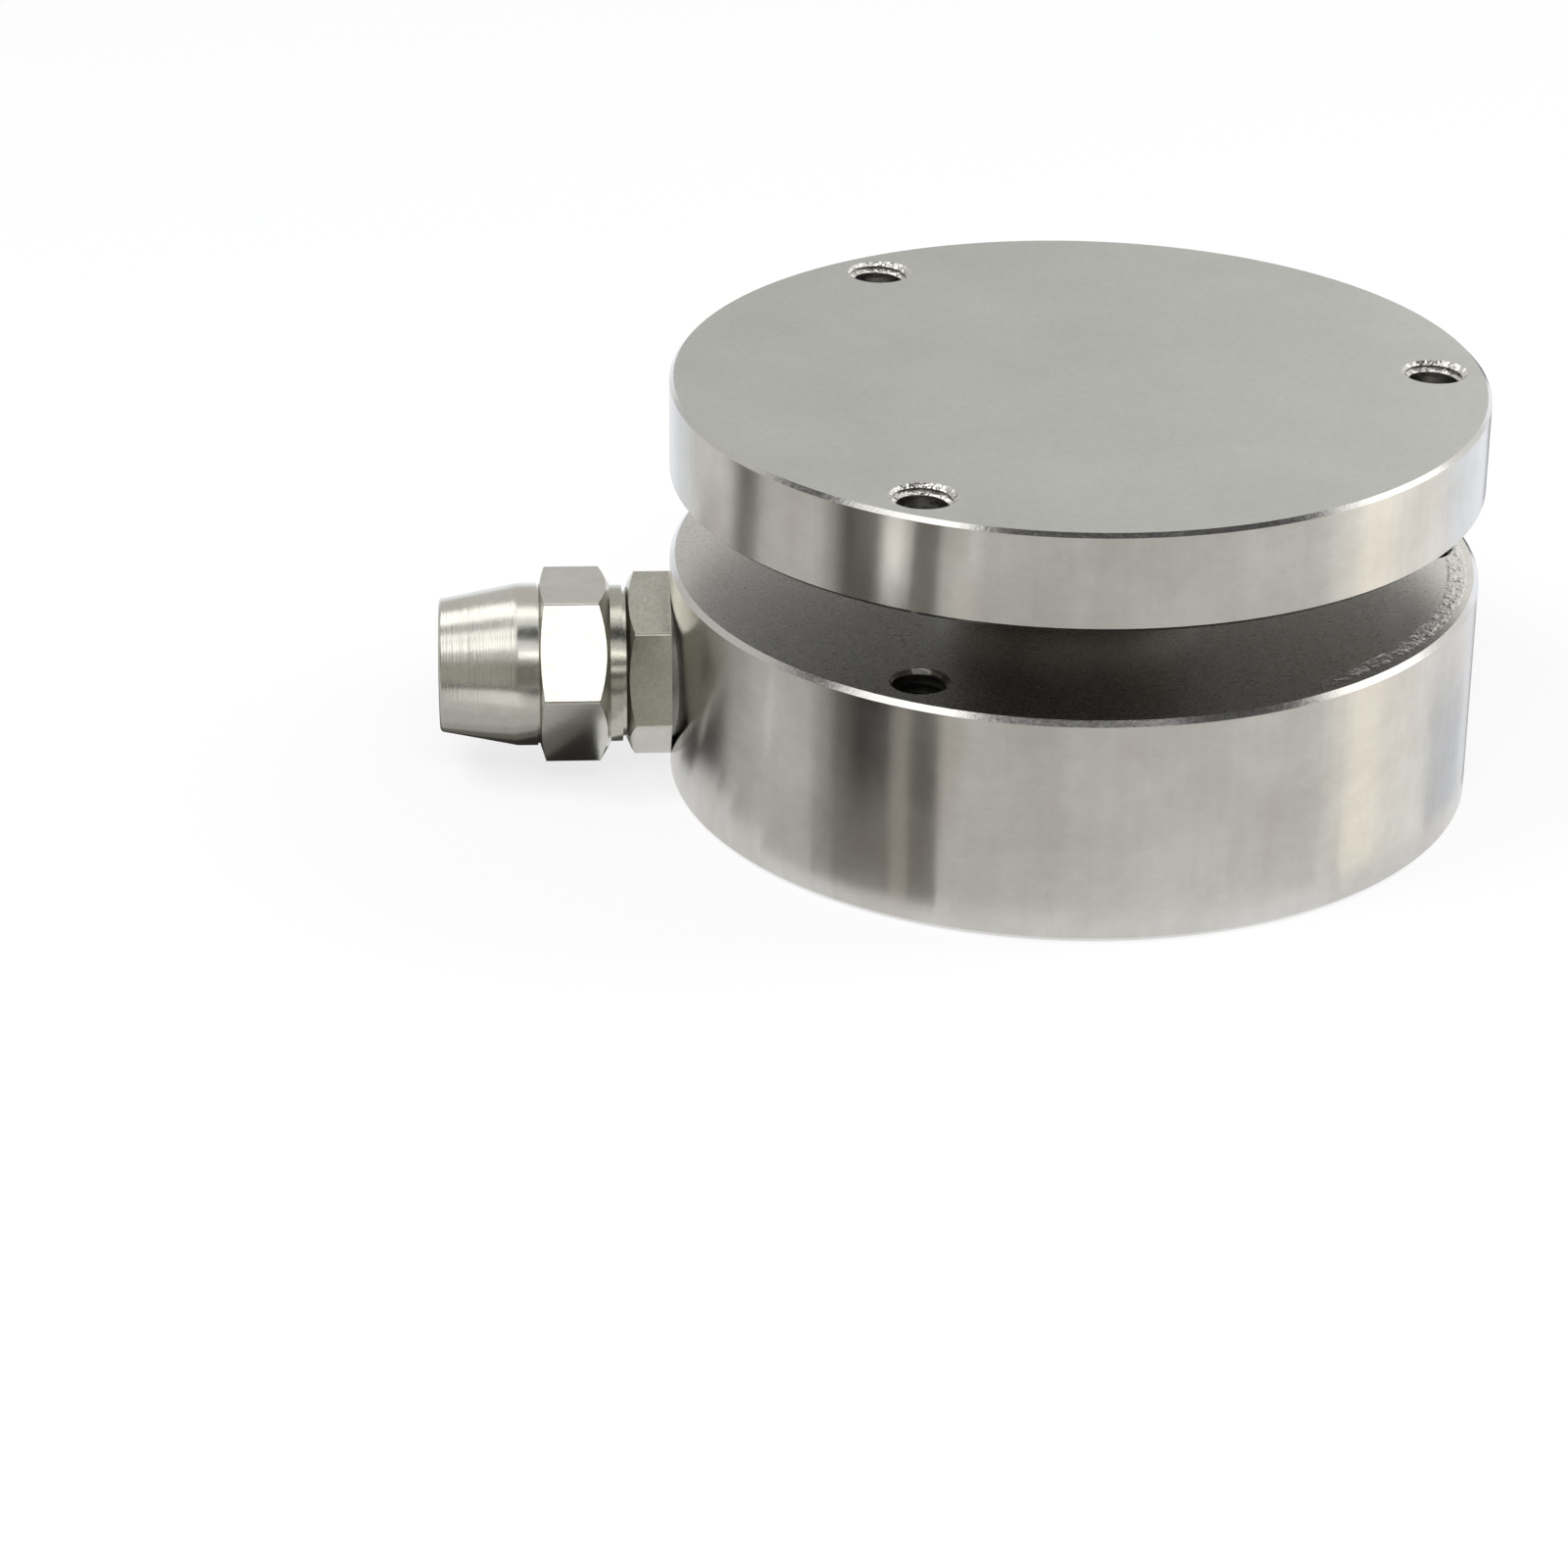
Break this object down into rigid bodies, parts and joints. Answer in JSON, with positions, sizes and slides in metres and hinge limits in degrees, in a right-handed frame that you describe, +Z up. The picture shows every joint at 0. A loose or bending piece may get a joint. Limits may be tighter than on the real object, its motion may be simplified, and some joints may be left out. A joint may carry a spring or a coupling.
{
  "type": "flange load cell",
  "caption": "Round two-flange tension and compression load cell with a tapped load plate, a hollow gauged base and a side cable gland.",
  "frame": {"origin": "on the axis of the cell, in the plane of the base's lower face", "axes": "+Z up through the load plate, the cable gland points along -X, a bolt hole lies on +X"},
  "size_m": [0.103, 0.08, 0.0415],
  "materials": {
    "billet_steel": "satin turned stainless steel",
    "cover_steel": "satin stainless steel",
    "gasket_rubber": "matt rubber",
    "screw_steel": "bright screw steel",
    "washer_metal": "soft bright metal",
    "gland_plating": "nickel plated brass, turned",
    "bush_rubber": "matt rubber",
    "clamp_ring_metal": "plain turned",
    "gauge_foil": "clear amber film",
    "tab_copper": "tinned copper",
    "lead_copper": "enamelled wire",
    "board_laminate": "green solder mask",
    "resistor_body": "black ceramic chip"
  },
  "bodies": {
    "root": {"board_screw_1": "screw_steel", "board_screw_2": "screw_steel", "board_screw_3": "screw_steel", "bottom_cover": "cover_steel", "bridge_board": "board_laminate", "cover_gasket": "gasket_rubber", "cover_screw_1": "screw_steel", "cover_screw_2": "screw_steel", "cover_screw_3": "screw_steel", "cover_screw_4": "screw_steel", "cover_screw_5": "screw_steel", "cover_screw_6": "screw_steel", "gauge_leads_1": "lead_copper", "gauge_leads_2": "lead_copper", "gauge_leads_3": "lead_copper", "gauge_leads_4": "lead_copper", "gland_body": "gland_plating", "gland_bush": "bush_rubber", "gland_clamp_ring": "clamp_ring_metal", "gland_nut": "gland_plating", "gland_washer": "washer_metal", "sensing_body": "billet_steel", "strain_gauge_1": "gauge_foil", "strain_gauge_2": "gauge_foil", "strain_gauge_3": "gauge_foil", "strain_gauge_4": "gauge_foil", "terminal_tab_1": "tab_copper", "terminal_tab_2": "tab_copper", "terminal_tab_3": "tab_copper", "terminal_tab_4": "tab_copper", "trim_resistor_1": "resistor_body", "trim_resistor_2": "resistor_body", "trim_resistor_3": "resistor_body", "trim_resistor_4": "resistor_body"}
  },
  "joints": []
}
